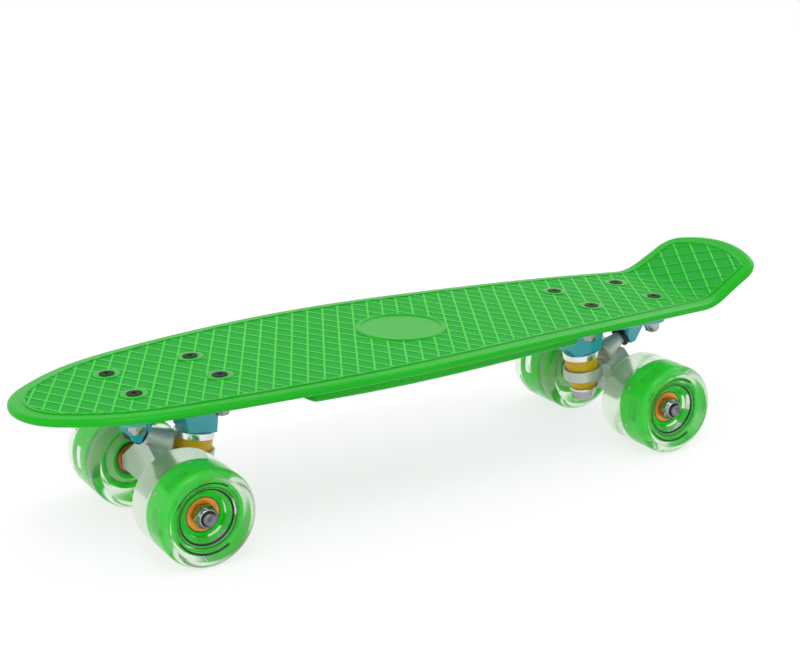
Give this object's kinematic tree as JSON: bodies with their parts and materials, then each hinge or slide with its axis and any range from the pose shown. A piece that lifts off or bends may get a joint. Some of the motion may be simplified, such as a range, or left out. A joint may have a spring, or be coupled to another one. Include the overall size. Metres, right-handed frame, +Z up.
{
  "type": "cruiser skateboard",
  "caption": "Small moulded plastic cruiser skateboard with a kicktail, ribbed deck, sprung steering trucks and clear wheels with a lit core.",
  "frame": {"origin": "on the ground below the middle of the overall box, with all wheels standing on the ground", "axes": "+X towards the nose, +Y to the rider's left, +Z up"},
  "size_m": [0.53, 0.15, 0.1171],
  "materials": {
    "deck_green": "glossy moulded plastic",
    "bolt_black": "black coated steel",
    "steel": "zinc plated",
    "riser_rubber": "matte",
    "baseplate_paint": "glossy turquoise paint",
    "cup_plastic": "matte",
    "chrome": "polished",
    "bushing_yellow": "semi gloss",
    "hanger_metal": "satin cast",
    "magnet_steel": "plated",
    "tyre_clear": "clear milky urethane",
    "core_green": "translucent moulded plastic",
    "lamp_white": "clear lamps on a pale ring",
    "shield_orange": "anodised"
  },
  "bodies": {
    "board": {"deck": "deck_green", "deck_bolts": "bolt_black", "deck_nuts": "steel", "front_riser_pad": "riser_rubber", "front_baseplate": "baseplate_paint", "front_pivot_cup": "cup_plastic", "front_kingpin": "steel", "front_kingpin_nut": "steel", "front_washer_boardside": "chrome", "front_washer_roadside": "chrome", "front_bushing_boardside": "bushing_yellow", "front_bushing_roadside": "bushing_yellow", "rear_riser_pad": "riser_rubber", "rear_baseplate": "baseplate_paint", "rear_pivot_cup": "cup_plastic", "rear_kingpin": "steel", "rear_kingpin_nut": "steel", "rear_washer_boardside": "chrome", "rear_washer_roadside": "chrome", "rear_bushing_boardside": "bushing_yellow", "rear_bushing_roadside": "bushing_yellow"},
    "front_truck": {"front_hanger": "hanger_metal", "front_axle": "steel", "front_axle_nuts": "steel", "front_speed_washers": "steel", "front_bearing_inner_races": "steel", "front_magnet_sleeves": "magnet_steel"},
    "front_left_wheel": {"front_left_tyre": "tyre_clear", "front_left_core": "core_green", "front_left_lamps": "lamp_white", "front_left_bearing_outer_races": "steel", "front_left_bearing_shields": "shield_orange"},
    "front_right_wheel": {"front_right_tyre": "tyre_clear", "front_right_core": "core_green", "front_right_lamps": "lamp_white", "front_right_bearing_outer_races": "steel", "front_right_bearing_shields": "shield_orange"},
    "rear_truck": {"rear_hanger": "hanger_metal", "rear_axle": "steel", "rear_axle_nuts": "steel", "rear_speed_washers": "steel", "rear_bearing_inner_races": "steel", "rear_magnet_sleeves": "magnet_steel"},
    "rear_left_wheel": {"rear_left_tyre": "tyre_clear", "rear_left_core": "core_green", "rear_left_lamps": "lamp_white", "rear_left_bearing_outer_races": "steel", "rear_left_bearing_shields": "shield_orange"},
    "rear_right_wheel": {"rear_right_tyre": "tyre_clear", "rear_right_core": "core_green", "rear_right_lamps": "lamp_white", "rear_right_bearing_outer_races": "steel", "rear_right_bearing_shields": "shield_orange"}
  },
  "joints": [
    {"name": "front_steer", "type": "hinge", "parent": "board", "child": "front_truck", "pos_m": [0.15571, 0, 0.04154], "axis": [0.8557, 0, 0.5175], "range_deg": [-12, 12], "stiffness_Nm_per_rad": 45, "deforming": ["front_bushing_boardside", "front_bushing_roadside"]},
    {"name": "front_left_spin", "type": "hinge", "parent": "front_truck", "child": "front_left_wheel", "pos_m": [0.17855, 0.051, 0.03], "axis": [0, 1, 0], "continuous": true},
    {"name": "front_right_spin", "type": "hinge", "parent": "front_truck", "child": "front_right_wheel", "pos_m": [0.17855, -0.051, 0.03], "axis": [0, 1, 0], "continuous": true},
    {"name": "rear_steer", "type": "hinge", "parent": "board", "child": "rear_truck", "pos_m": [-0.13991, 0, 0.04154], "axis": [-0.8557, 0, 0.5175], "range_deg": [-12, 12], "stiffness_Nm_per_rad": 45, "deforming": ["rear_bushing_boardside", "rear_bushing_roadside"]},
    {"name": "rear_left_spin", "type": "hinge", "parent": "rear_truck", "child": "rear_left_wheel", "pos_m": [-0.16275, 0.051, 0.03], "axis": [0, 1, 0], "continuous": true},
    {"name": "rear_right_spin", "type": "hinge", "parent": "rear_truck", "child": "rear_right_wheel", "pos_m": [-0.16275, -0.051, 0.03], "axis": [0, 1, 0], "continuous": true}
  ]
}
